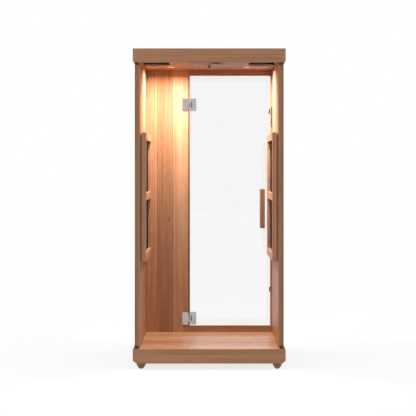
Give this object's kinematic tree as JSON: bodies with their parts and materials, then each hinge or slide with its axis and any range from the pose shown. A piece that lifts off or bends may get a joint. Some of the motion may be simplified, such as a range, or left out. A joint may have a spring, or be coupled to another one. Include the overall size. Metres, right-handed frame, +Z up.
{
  "type": "one-person infrared sauna cabin",
  "caption": "Small wooden infrared sauna cabin with boarded walls, a frameless glass door on H hinges, framed heater guards on both sides and an open rear.",
  "frame": {"origin": "middle of the outline on the ground, the outer handle included", "axes": "+X right seen from the open rear, +Y towards the glass door, +Z up"},
  "size_m": [0.91, 0.94, 1.91],
  "materials": {
    "wood": "oiled, fine straight grain",
    "wood_light": "sanded, fine straight grain",
    "wood_dark": "oiled",
    "heater": "matt carbon-coloured heater face",
    "glass": "clear tempered glass",
    "hinge_steel": "satin",
    "gasket": "translucent pad",
    "black_plastic": "matt",
    "control_plastic": "gloss front",
    "light_lens": "frosted white lens"
  },
  "bodies": {
    "cabin": {"feet": "wood_dark", "base_corner_blocks": "wood", "base_rear_board": "wood", "base_front_board": "wood", "base_joists": "wood", "base_side_trims": "wood", "base_front_trim": "wood", "floor_panel": "wood_light", "left_wall_cladding": "wood", "left_wall_lining": "wood_light", "right_wall_cladding": "wood", "right_wall_lining": "wood_light", "side_wall_studs": "wood", "side_wall_plates": "wood_dark", "front_wall_lining": "wood_light", "front_jamb_board": "wood_light", "front_header": "wood_light", "front_sill": "wood_light", "front_strike_strip": "wood_light", "front_frame_posts": "wood", "front_frame_rails": "wood", "front_cladding_sides": "wood", "front_cladding_rails": "wood", "ceiling_panel": "wood_light", "roof_rear_fascia": "wood", "roof_front_board": "wood", "roof_side_boards": "wood", "roof_side_trims": "wood", "roof_front_trim": "wood", "roof_panel": "wood", "heater_stiles": "wood_light", "heater_rails": "wood_light", "heater_cleats": "wood", "heater_panels": "heater", "hinge_wall_plates": "hinge_steel", "door_catches": "black_plastic", "control_panel": "control_plastic", "speakers": "black_plastic", "spot_lights": "light_lens", "temperature_sensor": "black_plastic", "ceiling_vent": "wood"},
    "door": {"door_glass": "glass", "hinge_glass_plates": "hinge_steel", "hinge_gaskets": "gasket", "door_handles": "wood", "handle_standoffs": "hinge_steel"}
  },
  "joints": [
    {"name": "door_hinge", "type": "hinge", "parent": "cabin", "child": "door", "pos_m": [-0.134, 0.416, 0.9815], "axis": [0, 0, 1], "range_deg": [0, 100]}
  ]
}
